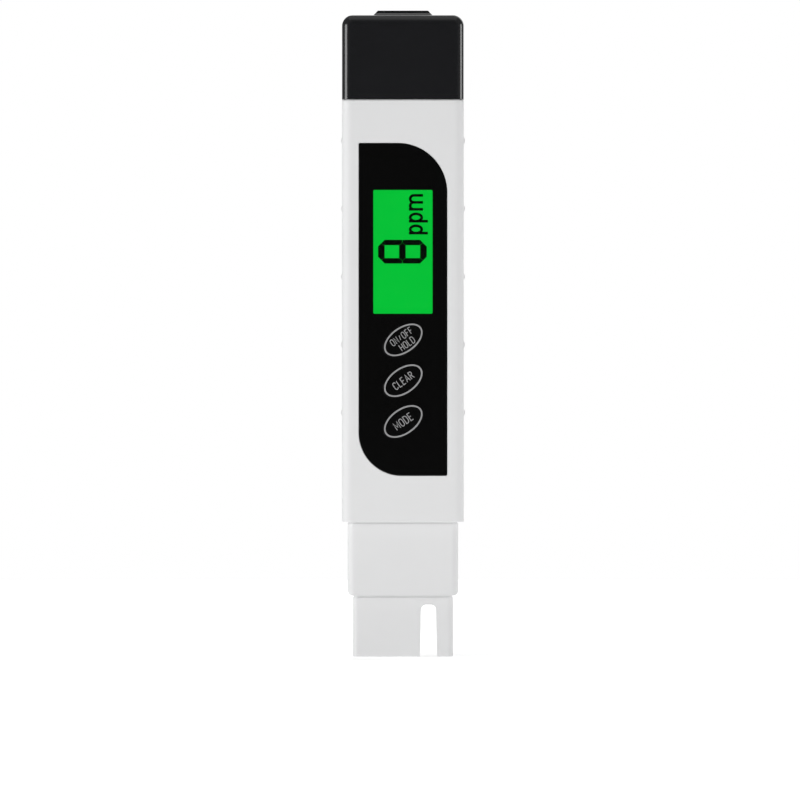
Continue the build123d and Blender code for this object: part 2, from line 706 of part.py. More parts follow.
def clip_strap():
    """The whole clip as one bent strap with slanted sides and a rounded tip."""
    path = clip_path()
    start = Plane(origin=path @ 0, x_dir=(1, 0, 0), z_dir=path % 0)
    outer = CLIP_T / 2 if start.y_dir.Z > 0 else -CLIP_T / 2
    wide = CLIP_WIDTH / 2
    narrow = CLIP_TOP_WIDTH / 2
    corners = [(-wide, -outer), (wide, -outer), (narrow, outer), (-narrow, outer)]
    strap = sweep(start * make_face(Polyline(corners, close=True)), path)
    silhouette = front_rectangle(CLIP_WIDTH + PAST, CLIP_LOW - CLIP_T / 3, TOTAL_HEIGHT + PAST)
    silhouette = fillet(silhouette.vertices().sort_by(Axis.Y)[:2], CLIP_TIP_R)
    return strap & plate(silhouette, -DEPTH, 2 * DEPTH)


def clip_pivot():
    """The bend's centre, in Y and Z: the arm swings about it."""
    return DEPTH / 2 + CLIP_GAP - CLIP_BEND_R, TOTAL_HEIGHT - CLIP_T - CLIP_BEND_R


def clip_pieces():
    """The strap cut at its bend: the foot stays on the cap, and the arm swings."""
    pivot_y, pivot_z = clip_pivot()
    slit = Pos(0, DEPTH / 2, 0) * Box(2 * CLIP_WIDTH, DEPTH, CLIP_SPLIT)
    slit = Pos(0, pivot_y, pivot_z) * Rot(CLIP_SPLIT_ANGLE, 0, 0) * slit
    arm, foot = (clip_strap() - slit).solids().sort_by(Axis.Z)
    return {"clip_foot": foot, "clip_arm": arm}


# ---------------------------------------------------------------- export

def all_pieces():
    """Every piece by node name."""
    pieces = {
        "housing": housing(),
        "front_panel": front_panel(),
        "panel_adhesive": panel_adhesive(),
        "display_window": display_window(),
        **display_stack(),
        "lcd_frame": lcd_frame(),
        "zebra_strip": zebra_strip(),
        "backlight_leds": backlight_leds(),
        "circuit_board": circuit_board(),
        "switch_bodies": switch_bodies(),
        "controller_blob": controller_blob(),
        "clock_crystal": clock_crystal(),
        "chip_resistors": chip_rows(RESISTOR_SIZE, RESISTOR_ROWS),
        "chip_capacitors": chip_rows(CAPACITOR_SIZE, CAPACITOR_ROWS),
        "amplifier_chip": chip(AMPLIFIER_SIZE, 0, AMPLIFIER_LOW),
        "probe_head": probe_head(),
        "head_seal": head_seal(),
        "sealing_epoxy": sealing_epoxy(),
        "thermistor_sleeve": round_tipped_pin(
            THERMISTOR_R, THERMISTOR_LOW, THERMISTOR_HIGH, THERMISTOR_X, THERMISTOR_TIP_R),
        "probe_leads": probe_leads(),
        "battery_carrier": battery_carrier(),
        "contact_bridge": contact_bridge(),
        "cap_seal": cap_seal(),
        "battery_cap": battery_cap(),
        **clip_pieces(),
    }
    for name, x in ELECTRODE_X.items():
        pieces["electrode_" + name] = round_tipped_pin(
            ELECTRODE_R, ELECTRODE_LOW, ELECTRODE_HIGH, x, ELECTRODE_TIP_R)
    for name, x in CELL_X.items():
        pieces["button_cell_" + name] = button_cell(name)
        pieces["contact_" + name] = cell_contact(x)
    for name, z in KEY_Z.items():
        pieces["key_" + name] = key(z)
        pieces["switch_plunger_" + name] = switch_plunger(z)
    return pieces


os.makedirs("parts", exist_ok=True)
for node, shape in all_pieces().items():
    export_step(shape, "parts/" + node + ".step")
print("clip pivot (y, z):", [round(value, 4) for value in clip_pivot()])
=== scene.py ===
# Looks of the pocket water tester. Metres, in the frame of the CAD model: the display faces -Y, +Z is up.
# The CAD nodes keep their shapes and get their materials here. The pieces that this script adds are the
# pocket clip, a pale band on its pad that is a painted highlight, the print on the keys, the picture in the
# display and the marks on the battery carrier.

import json
import math

import bmesh
import bpy
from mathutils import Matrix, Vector


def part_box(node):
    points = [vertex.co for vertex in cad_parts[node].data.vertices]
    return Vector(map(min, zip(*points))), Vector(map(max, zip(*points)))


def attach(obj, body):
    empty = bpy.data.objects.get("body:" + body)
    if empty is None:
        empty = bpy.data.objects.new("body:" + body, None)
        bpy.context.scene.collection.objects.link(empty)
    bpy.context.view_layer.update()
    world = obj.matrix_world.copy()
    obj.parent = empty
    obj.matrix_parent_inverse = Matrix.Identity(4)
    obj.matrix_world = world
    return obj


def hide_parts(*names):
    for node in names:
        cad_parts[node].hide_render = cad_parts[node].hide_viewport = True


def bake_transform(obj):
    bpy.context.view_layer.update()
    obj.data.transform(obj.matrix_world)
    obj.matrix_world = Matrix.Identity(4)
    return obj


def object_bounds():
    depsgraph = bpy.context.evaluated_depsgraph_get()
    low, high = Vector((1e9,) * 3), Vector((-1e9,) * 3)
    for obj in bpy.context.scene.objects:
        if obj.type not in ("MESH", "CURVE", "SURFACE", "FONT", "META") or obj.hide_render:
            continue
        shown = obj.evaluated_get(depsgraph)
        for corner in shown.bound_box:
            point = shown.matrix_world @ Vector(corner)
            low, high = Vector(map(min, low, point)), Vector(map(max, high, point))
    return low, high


MM = 0.001

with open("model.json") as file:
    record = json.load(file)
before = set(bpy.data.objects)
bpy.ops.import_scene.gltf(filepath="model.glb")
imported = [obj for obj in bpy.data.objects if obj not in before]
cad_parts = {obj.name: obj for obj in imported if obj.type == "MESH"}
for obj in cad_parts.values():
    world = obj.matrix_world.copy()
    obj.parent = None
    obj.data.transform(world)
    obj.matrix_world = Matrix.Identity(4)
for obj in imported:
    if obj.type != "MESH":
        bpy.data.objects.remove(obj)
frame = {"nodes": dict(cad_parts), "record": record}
cad_low, cad_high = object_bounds()


# ---------------------------------------------------------------- materials

def shader_nodes(name):
    """A new material using nodes, with the default Principled shader of its node tree."""
    made = bpy.data.materials.new(name)
    made.use_nodes = True
    tree = made.node_tree
    shader = tree.nodes["Principled BSDF"]
    return made, tree, shader


def object_noise(tree, size, stretch=(1, 1, 1), detail=2.0):
    """Noise fixed to the object, with features about size metres wide, stretched by axis."""
    coordinates = tree.nodes.new("ShaderNodeTexCoord")
    mapping = tree.nodes.new("ShaderNodeMapping")
    mapping.inputs["Scale"].default_value = [1 / (size * part) for part in stretch]
    noise = tree.nodes.new("ShaderNodeTexNoise")
    noise.inputs["Scale"].default_value = 1.0
    noise.inputs["Detail"].default_value = detail
    tree.links.new(coordinates.outputs["Object"], mapping.inputs["Vector"])
    tree.links.new(mapping.outputs["Vector"], noise.inputs["Vector"])
    return noise.outputs["Fac"]


def spread(tree, value, low, high):
    """Noise stretched to run from low to high."""
    remap = tree.nodes.new("ShaderNodeMapRange")
    remap.inputs["From Min"].default_value = 0.3
    remap.inputs["From Max"].default_value = 0.7
    remap.inputs["To Min"].default_value = low
    remap.inputs["To Max"].default_value = high
    tree.links.new(value, remap.inputs["Value"])
    return remap.outputs["Result"]


def tint(tree, value, colour, shift):
    """A colour that drifts a little darker and lighter with a noise value."""
    mix = tree.nodes.new("ShaderNodeMix")
    mix.data_type = "RGBA"
    sockets = [s for s in mix.inputs if s.type == "RGBA"]
    sockets[0].default_value = [c * (1 - shift) for c in colour] + [1]
    sockets[1].default_value = [min(1, c * (1 + shift)) for c in colour] + [1]
    tree.links.new(spread(tree, value, 0, 1), mix.inputs["Factor"])
    return next(s for s in mix.outputs if s.type == "RGBA")


def surface(name, colour, roughness, metallic=0.0, shift=0.03, grain=0.3 * MM, depth=0.004 * MM,
            stretch=(1, 1, 1), rough_shift=0.05, specular=0.5):
    """A moulded, drawn or cast surface: fine grain in its height, slow drifts in its colour and gloss."""
    made, tree, shader = shader_nodes(name)
    shader.inputs["Metallic"].default_value = metallic
    shader.inputs["Specular IOR Level"].default_value = specular
    slow = object_noise(tree, 30 * grain, stretch)
    fine = object_noise(tree, grain, stretch, 4.0)
    tree.links.new(tint(tree, slow, colour, shift), shader.inputs["Base Color"])
    gloss = spread(tree, fine, max(0.01, roughness - rough_shift), roughness + rough_shift)
    tree.links.new(gloss, shader.inputs["Roughness"])
    bump = tree.nodes.new("ShaderNodeBump")
    bump.inputs["Strength"].default_value = 1.0
    bump.inputs["Distance"].default_value = depth
    tree.links.new(fine, bump.inputs["Height"])
    tree.links.new(bump.outputs["Normal"], shader.inputs["Normal"])
    return made


def clear_plate(name, colour, ior):
    """Clear moulded plastic or glass, with a trace of haze."""
    made, tree, shader = shader_nodes(name)
    shader.inputs["Base Color"].default_value = (*colour, 1)
    shader.inputs["Transmission Weight"].default_value = 1.0
    shader.inputs["IOR"].default_value = ior
    haze = spread(tree, object_noise(tree, 4 * MM), 0.0, 0.02)
    tree.links.new(haze, shader.inputs["Roughness"])
    return made


def backlit_film(name, colour, strength):
    """Film lit from behind, a touch uneven as a small backlight is."""
    made, tree, shader = shader_nodes(name)
    shader.inputs["Roughness"].default_value = 0.6
    shader.inputs["Specular IOR Level"].default_value = 0.05
    shader.inputs["Emission Strength"].default_value = strength
    shader.inputs["Base Color"].default_value = (*[0.05 * c for c in colour], 1)
    glow = tint(tree, object_noise(tree, 9 * MM), colour, 0.02)
    tree.links.new(glow, shader.inputs["Emission Color"])
    return made


LIT_GREEN = (0.0005, 0.52, 0.037)

MATERIALS = {
    "white_body": surface("white_abs", (0.78, 0.782, 0.785), 0.42, shift=0.006, depth=0.002 * MM,
                          specular=0.3),
    "black_panel": surface("panel_gloss_black", (0.0028, 0.0028, 0.0028), 0.07, depth=0.0005 * MM,
                           rough_shift=0.02, grain=0.8 * MM, specular=0.3),
    "panel_tape": surface("die_cut_tape", (0.02, 0.02, 0.02), 0.7),
    "clear_window": clear_plate("clear_window_plastic", (0.97, 1.0, 0.97), 1.2),
    "key_black": surface("key_black_plastic", (0.0028, 0.0028, 0.0028), 0.1, grain=0.4 * MM,
                         depth=0.0005 * MM, rough_shift=0.02, specular=0.3),
    "polariser_film": backlit_film("display_film", LIT_GREEN, 1.0),
    "lcd_glass": clear_plate("display_glass", (0.9, 1.0, 0.92), 1.52),
    "light_guide": backlit_film("backlight_acrylic", LIT_GREEN, 1.0),
    "reflector_film": surface("reflector_white", (0.85, 0.85, 0.85), 0.5),
    "frame_plastic": surface("display_frame_plastic", (0.6, 0.6, 0.58), 0.5),
    "zebra_rubber": surface("zebra_rubber", (0.2, 0.2, 0.21), 0.6, grain=0.08 * MM, stretch=(1, 9, 9),
                            shift=0.5),
    "led_lens": surface("lamp_resin", (0.8, 0.82, 0.6), 0.2),
    "board_green": surface("solder_mask_green", (0.012, 0.14, 0.04), 0.3, shift=0.12),
    "switch_shell": surface("stamped_steel", (0.6, 0.6, 0.6), 0.3, metallic=1.0),
    "plunger_plastic": surface("plunger_plastic", (0.02, 0.02, 0.02), 0.45),
    "chip_epoxy": surface("chip_epoxy", (0.006, 0.006, 0.006), 0.15),
    "crystal_can": surface("crystal_can", (0.8, 0.8, 0.8), 0.15, metallic=1.0),
    "chip_black": surface("chip_moulding", (0.012, 0.012, 0.012), 0.5),
    "resistor_black": surface("resistor_body", (0.015, 0.015, 0.015), 0.4),
    "capacitor_tan": surface("capacitor_body", (0.4, 0.27, 0.14), 0.35),
    "seal_rubber": surface("seal_rubber", (0.012, 0.012, 0.012), 0.6, grain=0.15 * MM),
    "potting_epoxy": surface("potting_epoxy", (0.5, 0.5, 0.45), 0.2),
    "electrode_titanium": surface("drawn_titanium", (0.5, 0.48, 0.45), 0.32, metallic=1.0,
                                  grain=0.06 * MM, stretch=(1, 1, 30), depth=0.002 * MM, shift=0.08),
    "sleeve_steel": surface("polished_sleeve", (0.68, 0.68, 0.67), 0.18, metallic=1.0, grain=0.06 * MM,
                            stretch=(1, 1, 20), depth=0.0015 * MM),
    "lead_insulation": surface("lead_insulation", (0.42, 0.02, 0.02), 0.45),
    "carrier_black": surface("carrier_black_plastic", (0.014, 0.014, 0.015), 0.42, depth=0.006 * MM),
    "cell_steel": surface("nickel_plate", (0.72, 0.71, 0.69), 0.2, metallic=1.0, grain=0.05 * MM,
                          stretch=(12, 1, 1), depth=0.001 * MM),
    "contact_nickel": surface("contact_strip", (0.7, 0.67, 0.6), 0.28, metallic=1.0, grain=0.05 * MM,
                              stretch=(20, 1, 1), depth=0.001 * MM),
    "cap_black": surface("cap_black_plastic", (0.0105, 0.0108, 0.012), 0.16, grain=0.18 * MM,
                         depth=0.0012 * MM, rough_shift=0.02, specular=0.72),
    "clip_black": surface("clip_black_plastic", (0.009, 0.009, 0.010), 0.18, grain=0.18 * MM,
                          depth=0.0012 * MM, rough_shift=0.02, specular=0.5),
}
LEGEND_GREY = surface("legend_grey_ink", (0.3, 0.3, 0.305), 0.5, grain=0.1 * MM, depth=0.001 * MM)
# Pale grey for the band at the clip's foot: a painted highlight for the light that the pad's front edge
# catches.
PAD_PAINTED_HIGHLIGHT_GREY = surface("pad_painted_highlight_grey", (0.19, 0.19, 0.193), 0.35)
DISPLAY_DARK = surface("display_dark_segments", (0.0005, 0.003, 0.0008), 0.6, specular=0.05)


def dress_cad_nodes():
    """Every CAD node gets the material of its slot in the record."""
    for row in frame["record"]["subparts"]:
        node = frame["nodes"][row["node"]]
        node.material_slots[0].material = MATERIALS[row["material_slot"]]


# ---------------------------------------------------------------- mesh helpers

def finish_piece(name, mesh_builder, material, body, smooth_angle=math.radians(35)):
    """Turns a bmesh into a piece that rides on a body, with smooth shading below smooth_angle."""
    bmesh.ops.recalc_face_normals(mesh_builder, faces=mesh_builder.faces)
    mesh = bpy.data.meshes.new(name)
    mesh_builder.to_mesh(mesh)
    mesh_builder.free()
    mesh.materials.append(material)
    mesh.shade_smooth()
    mesh.set_sharp_from_angle(angle=smooth_angle)
    piece = bpy.data.objects.new(name, mesh)
    bpy.context.scene.collection.objects.link(piece)
    if body:
        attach(piece, body)
    return piece


def add_prism(target, outline, front, back):
    """A closed flat prism facing -Y, from an outline of (x, z) points."""
    rings = [[target.verts.new((x, y, z)) for x, z in outline] for y in (front, back)]
    count = len(outline)
    for index in range(count):
        after = (index + 1) % count
        target.faces.new((rings[0][index], rings[0][after], rings[1][after], rings[1][index]))
    target.faces.new(rings[0])
    target.faces.new(reversed(rings[1]))


def add_loop_prism(target, outer, inner, front, back):
    """A closed flat ring facing -Y, between two outlines with the same number of points."""
    rings = [[target.verts.new((x, y, z)) for x, z in outline]
             for outline, y in ((outer, front), (inner, front), (inner, back), (outer, back))]
    count = len(outer)
    for index in range(count):
        after = (index + 1) % count
        for start, end in ((0, 1), (1, 2), (2, 3), (3, 0)):
            target.faces.new((rings[start][index], rings[start][after], rings[end][after], rings[end][index]))


def arc(centre_x, centre_z, radius_x, radius_z, start, end, steps=10):
    """Points along an elliptical arc, from start to end in degrees."""
    points = []
    for index in range(steps + 1):
        angle = math.radians(start + (end - start) * index / steps)
        points.append((centre_x + radius_x * math.cos(angle), centre_z + radius_z * math.sin(angle)))
    return points


# ---------------------------------------------------------------- lettering

# Plain block capitals in strokes, on a cell one unit high: the cell's width, then the strokes.
LETTERS = {
    "A": (0.54, [[(0, 0), (0.27, 1), (0.54, 0)], [(0.09, 0.32), (0.45, 0.32)]]),
    "C": (0.48, [arc(0.24, 0.74, 0.24, 0.26, 15, 180) + arc(0.24, 0.26, 0.24, 0.26, 180, 345)]),
    "D": (0.5, [[(0, 0), (0, 1), (0.18, 1)] + arc(0.18, 0.68, 0.32, 0.32, 80, 0)
                + arc(0.18, 0.32, 0.32, 0.32, 0, -80) + [(0.18, 0)]]),
    "E": (0.43, [[(0.43, 0), (0, 0), (0, 1), (0.43, 1)], [(0, 0.52), (0.38, 0.52)]]),
    "F": (0.43, [[(0, 0), (0, 1), (0.43, 1)], [(0, 0.52), (0.36, 0.52)]]),
    "H": (0.5, [[(0, 0), (0, 1)], [(0.5, 0), (0.5, 1)], [(0, 0.5), (0.5, 0.5)]]),
    "L": (0.4, [[(0, 1), (0, 0), (0.4, 0)]]),
    "M": (0.62, [[(0, 0), (0, 1), (0.31, 0.28), (0.62, 1), (0.62, 0)]]),
    "N": (0.48, [[(0, 0), (0, 1), (0.48, 0), (0.48, 1)]]),
    "O": (0.5, [arc(0.25, 0.74, 0.25, 0.26, 0, 180) + arc(0.25, 0.26, 0.25, 0.26, 180, 360)]),
    "R": (0.48, [[(0, 0), (0, 1), (0.22, 1)] + arc(0.22, 0.76, 0.24, 0.24, 80, -80)
                 + [(0.22, 0.52), (0, 0.52)],
                 [(0.22, 0.52), (0.48, 0)]]),
    "/": (0.44, [[(0.12, 0.16), (0.32, 0.84)]]),
}
CLOSED_LETTERS = "DO"
LETTER_GAP = 0.27
LETTER_CONDENSE = 0.885
MITRE_LIMIT = 1.8
STROKE_STEP = 0.0015 * MM     # each stroke a hair lower than the last, so that none share a face


def ribbon_sides(points, width, closed):
    """The left and right edges of a pen stroke of even width, mitred at its corners."""
    half = width / 2
    count = len(points)
    pens = [Vector(point) for point in points]
    left, right = [], []
    for index, here in enumerate(pens):
        before = pens[index - 1] if index or closed else None
        after = pens[(index + 1) % count] if index < count - 1 or closed else None
        way_in = (here - before).normalized() if before else (after - here).normalized()
        way_out = (after - here).normalized() if after else way_in
        along = (way_in + way_out).normalized()
        aside = Vector((-along.y, along.x))
        reach = min(half / max(0.2, along.dot(way_out)), half * MITRE_LIMIT)
        left.append(here + aside * reach)
        right.append(here - aside * reach)
    return left, right


def add_stroke(target, points, width, front, back, place, closed=False):
    """One pen stroke as a closed flat bar. place maps the pen's plane to (x, z)."""
    left, right = ribbon_sides(points, width, closed)
    if closed:
        add_loop_prism(target, [place(*p) for p in left], [place(*p) for p in right], front, back)
        return
    rings = []
    for a, b in zip(left, right):
        (ax, az), (bx, bz) = place(*a), place(*b)
        corners = ((ax, front, az), (bx, front, bz), (bx, back, bz), (ax, back, az))
        rings.append([target.verts.new(corner) for corner in corners])
    for first, second in zip(rings, rings[1:]):
        for start, end in ((0, 1), (1, 2), (2, 3), (3, 0)):
            target.faces.new((first[start], first[end], second[end], second[start]))
    target.faces.new(rings[0])
    target.faces.new(reversed(rings[-1]))


def text_width(text, height):
    """Length of a line of block capitals."""
    widths = sum(LETTERS[letter][0] for letter in text)
    return height * LETTER_CONDENSE * (widths + LETTER_GAP * (len(text) - 1))


def add_text(target, text, height, pen, centre, front, back, place):
    """A line of block capitals about a centre."""
    centre_u, centre_v = centre
    cursor = centre_u - text_width(text, height) / 2
    base = centre_v - height / 2
    for letter in text:
        width, strokes = LETTERS[letter]
        for index, stroke in enumerate(strokes):
            points = [(cursor + u * height * LETTER_CONDENSE, base + v * height) for u, v in stroke]
            face = front + index * STROKE_STEP
            add_stroke(target, points, pen, face, back, place, letter in CLOSED_LETTERS)
        cursor += (width + LETTER_GAP) * height * LETTER_CONDENSE


# ---------------------------------------------------------------- keys

KEY_TILT = math.radians(35)
RING_A = 5.16 * MM
RING_B = 3.05 * MM
RING_WIDTH = 0.37 * MM
RING_SHIFT = 0.08 * MM
INK_PROUD = 0.012 * MM
INK_SUNK = 0.03 * MM
KEY_TEXT = {        # words, height, pen width, centre along and across the oval
    "power": (("ON/OFF", 1.6 * MM, 0.18 * MM, (0.1 * MM, 0.88 * MM)),
              ("HOLD", 1.6 * MM, 0.19 * MM, (0.24 * MM, -1.24 * MM))),
    "clear": (("CLEAR", 1.75 * MM, 0.21 * MM, (0.0, 0.0)),),
    "mode": (("MODE", 1.85 * MM, 0.21 * MM, (0.0, 0.0)),),
}


def key_print(name):
    """Grey oval and words printed on one key."""
    low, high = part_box("key_" + name)
    centre_x = (low.x + high.x) / 2 + RING_SHIFT
    centre_z = (low.z + high.z) / 2
    front = low.y - INK_PROUD
    back = low.y + INK_SUNK

    def place(u, v):
        x = centre_x + u * math.cos(KEY_TILT) - v * math.sin(KEY_TILT)
        z = centre_z + u * math.sin(KEY_TILT) + v * math.cos(KEY_TILT)
        return x, z

    ink = bmesh.new()
    steps = 96
    outer = [place(u, v) for u, v in arc(0, 0, RING_A, RING_B, 0, 360, steps)[:-1]]
    inner = [place(u, v) for u, v in arc(0, 0, RING_A - RING_WIDTH, RING_B - RING_WIDTH, 0, 360, steps)[:-1]]
    add_loop_prism(ink, outer, inner, front, back)
    for text, height, pen, centre in KEY_TEXT[name]:
        add_text(ink, text, height, pen, centre, front, back, place)
    return finish_piece("key_print_" + name, ink, LEGEND_GREY, name + "_key")


# ---------------------------------------------------------------- display

READING_THICKNESS = 0.05 * MM
READING_GAP = 0.02 * MM

# The reading is turned a quarter turn: its up is -X and it runs up the body.
DIGIT_WIDTH = 5.66 * MM
DIGIT_HEIGHT = 11.6 * MM
DIGIT_FOOT_X = 5.67 * MM
DIGIT_START = 11.92 * MM        # from the window's lower end
SEGMENT_ACROSS = 1.58 * MM      # thickness of the segments that lie across the digit
SEGMENT_ALONG = 1.3 * MM
SEGMENT_CORNER = 1.6 * MM
SEGMENT_GAP = 0.024 * MM

UNIT_BASE_X = 4.79 * MM
UNIT_START = 18.85 * MM         # from the window's lower end
UNIT_HEIGHT = 3.38 * MM
UNIT_TAIL = 1.15 * MM
UNIT_PEN = 0.64 * MM
UNIT_P_WIDTH = 2.38 * MM
UNIT_P_PITCH = 2.83 * MM
UNIT_M_WIDTH = 3.95 * MM


def inset(points, distance):
    """A convex outline moved inwards on every side."""
    count = len(points)
    area = sum(points[i][0] * points[(i + 1) % count][1] - points[(i + 1) % count][0] * points[i][1]
               for i in range(count))
    turn = 1 if area > 0 else -1
    lines = []
    for index in range(count):
        start = Vector(points[index])
        end = Vector(points[(index + 1) % count])
        along = (end - start).normalized()
        inward = Vector((-along.y, along.x)) * turn
        lines.append((start + inward * distance, along))
    moved = []
    for index in range(count):
        (p, d), (q, e) = lines[index - 1], lines[index]
        cross = d.x * e.y - d.y * e.x
        t = ((q.x - p.x) * e.y - (q.y - p.y) * e.x) / cross
        moved.append((p.x + d.x * t, p.y + d.y * t))
    return moved


def digit_segments():
    """The seven segments of a digit, as convex outlines in its own upright plane."""
    w, h = DIGIT_WIDTH, DIGIT_HEIGHT
    across, along, corner = SEGMENT_ACROSS, SEGMENT_ALONG, SEGMENT_CORNER
    middle = h / 2
    top = [(corner, h), (w - corner, h), (w - corner / 2, h - corner / 2), (w - along, h - across),
           (along, h - across), (corner / 2, h - corner / 2)]
    upper_right = [(w - corner / 2, h - corner / 2), (w, h - corner), (w, middle + across * 0.03),
                   (w - along / 2, middle), (w - along, middle + across / 2), (w - along, h - across)]
    centre = [(along / 2, middle), (along, middle + across / 2), (w - along, middle + across / 2),
              (w - along / 2, middle), (w - along, middle - across / 2), (along, middle - across / 2)]

    def mirror_u(points):
        return [(w - u, v) for u, v in points]

    def mirror_v(points):
        return [(u, h - v) for u, v in points]

    return [top, mirror_v(top), centre, upper_right, mirror_u(upper_right), mirror_v(upper_right),
            mirror_u(mirror_v(upper_right))]


def display_picture():
    """The reading 8 and its unit, dark on the lit film, just behind the window."""
    window_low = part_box("display_window")[0]
    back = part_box("front_polariser")[0].y - READING_GAP
    front = back - READING_THICKNESS
    digit = bmesh.new()

    def place_digit(u, v):
        return DIGIT_FOOT_X - v, window_low.z + DIGIT_START + u

    for segment in digit_segments():
        add_prism(digit, [place_digit(u, v) for u, v in inset(segment, SEGMENT_GAP / 2)], front, back)
    finish_piece("display_digit", digit, DISPLAY_DARK, "tester")

    unit = bmesh.new()
    half = UNIT_PEN / 2

    def place_unit(u, v):
        return UNIT_BASE_X - v, window_low.z + UNIT_START + u

    for index in range(2):
        left = index * UNIT_P_PITCH + half
        bowl_a = (UNIT_P_WIDTH - UNIT_PEN) / 2
        stem = [(left, -UNIT_TAIL), (left, UNIT_HEIGHT)]
        add_stroke(unit, stem, UNIT_PEN, front, back, place_unit)
        bowl = arc(left + bowl_a, UNIT_HEIGHT / 2, bowl_a, UNIT_HEIGHT / 2 - half, 0, 360, 36)[:-1]
        add_stroke(unit, bowl, UNIT_PEN, front + STROKE_STEP, back, place_unit, True)
    left = 2 * UNIT_P_PITCH + half
    span = (UNIT_M_WIDTH - UNIT_PEN) / 2
    shoulder = span / 2
    add_stroke(unit, [(left, 0), (left, UNIT_HEIGHT)], UNIT_PEN, front, back, place_unit)
    for step, start in enumerate((left, left + span), start=1):
        bend_top = UNIT_HEIGHT - half
        leg = arc(start + shoulder, bend_top - shoulder, shoulder, shoulder, 180, 0, 14)
        leg.append((start + span, 0))
        add_stroke(unit, leg, UNIT_PEN, front + step * STROKE_STEP, back, place_unit)
    finish_piece("display_unit", unit, DISPLAY_DARK, "tester")


# ---------------------------------------------------------------- pocket clip

CLIP_GAP = 1.5 * MM
CLIP_TOE_GAP = 0.25 * MM
CLIP_BEND_R = 2.6 * MM
CLIP_TOE_R = 6.0 * MM
CLIP_TOE_Z = 111.0 * MM
CLIP_KICK = 1.6 * MM
CLIP_TIP_R = 3.5 * MM
CLIP_TAPER = 0.55 * MM
CLIP_EDGE_R = 0.16 * MM
CLIP_STEP = 0.5 * MM
PAD_BAND_HEIGHT = 0.56 * MM
PAD_BAND_FRONT = 0.33 * MM
PAD_BAND_BEVEL = 0.05 * MM


def rounded_route(points, radii):
    """Points every CLIP_STEP or so along straight runs joined by tangent arcs, in (y, z)."""
    route = []
    here = Vector(points[0])
    for index, radius in enumerate(radii, start=1):
        corner = Vector(points[index])
        before = (corner - here).normalized()
        after = (Vector(points[index + 1]) - corner).normalized()
        turn = before.angle_signed(after)
        reach = radius * abs(math.tan(turn / 2))
        start = corner - before * reach
        runs = max(1, round((start - here).length / CLIP_STEP))
        route += [here.lerp(start, step / runs) for step in range(runs)]
        side = -1 if turn > 0 else 1
        centre = start + Vector((-before.y, before.x)) * radius * side
        spoke = start - centre
        bends = max(3, round(radius * abs(turn) / (CLIP_STEP / 2)))
        for step in range(bends):
            angle = -turn * step / bends
            turned = Vector((spoke.x * math.cos(angle) - spoke.y * math.sin(angle),
                             spoke.x * math.sin(angle) + spoke.y * math.cos(angle)))
            route.append(centre + turned)
        here = corner + after * reach
    end = Vector(points[-1])
    runs = max(1, round((end - here).length / CLIP_STEP))
    route += [here.lerp(end, step / runs) for step in range(runs + 1)]
    return route


def strap_section(half_wide, half_narrow, half_thick):
    """The strap's cross-section: slanted sides and softened corners, as (across, out) points."""
    corners = [(-half_wide, -half_thick), (half_wide, -half_thick),
               (half_narrow, half_thick), (-half_narrow, half_thick)]
    outline = []
    for index, corner in enumerate(corners):
        here = Vector(corner)
        back = (Vector(corners[index - 1]) - here).normalized()
        ahead = (Vector(corners[(index + 1) % 4]) - here).normalized()
        reach = min(CLIP_EDGE_R * 1.2, half_thick * 0.7)
        for step in range(4):
            t = step / 3
            a = here + back * reach
            b = here + ahead * reach
            outline.append(a * (1 - t) ** 2 + here * 2 * t * (1 - t) + b * t ** 2)
    return outline


def pocket_clip():
    """One continuous strap from the cap's top, round the bend and down the back, to a kicked-out tip."""
    foot_low, foot_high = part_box("clip_foot")
    arm_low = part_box("clip_arm")[0]
    pad_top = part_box("battery_cap")[1].z
    thickness = foot_high.z - pad_top
    half = thickness / 2
    back_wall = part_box("housing")[1].y
    foot_z = foot_high.z - half
    toe_y = back_wall + CLIP_TOE_GAP + half
    corners = [
        (foot_low.y, foot_z),
        (back_wall + CLIP_GAP + half, foot_z),
        (toe_y, CLIP_TOE_Z),
        (toe_y + CLIP_KICK, arm_low.z + half * 0.3),
    ]
    route = rounded_route(corners, [CLIP_BEND_R + half, CLIP_TOE_R])
    lengths = [0.0]
    for a, b in zip(route, route[1:]):
        lengths.append(lengths[-1] + (b - a).length)
    total = lengths[-1]
    wide = foot_high.x
    strap = bmesh.new()
    rings = []
    for index, point in enumerate(route):
        before = route[max(0, index - 1)]
        after = route[min(len(route) - 1, index + 1)]
        along = (after - before).normalized()
        out = Vector((-along.y, along.x))
        left = total - lengths[index]
        shrink = 0.0
        if left < CLIP_TIP_R:
            shrink = CLIP_TIP_R - math.sqrt(CLIP_TIP_R ** 2 - (CLIP_TIP_R - left) ** 2)
        section = strap_section(wide - shrink, wide - CLIP_TAPER - shrink, half)
        ring = []
        for across, outward in section:
            place = point + out * outward
            ring.append(strap.verts.new((across, place.x, place.y)))
        rings.append(ring)
    for first, second in zip(rings, rings[1:]):
        count = len(first)
        for index in range(count):
            after = (index + 1) % count
            strap.faces.new((first[index], first[after], second[after], second[index]))
    strap.faces.new(rings[0])
    strap.faces.new(reversed(rings[-1]))
    piece = finish_piece("pocket_clip", strap, MATERIALS["clip_black"], None)
    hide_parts("clip_foot", "clip_arm")
    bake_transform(piece)
    return piece


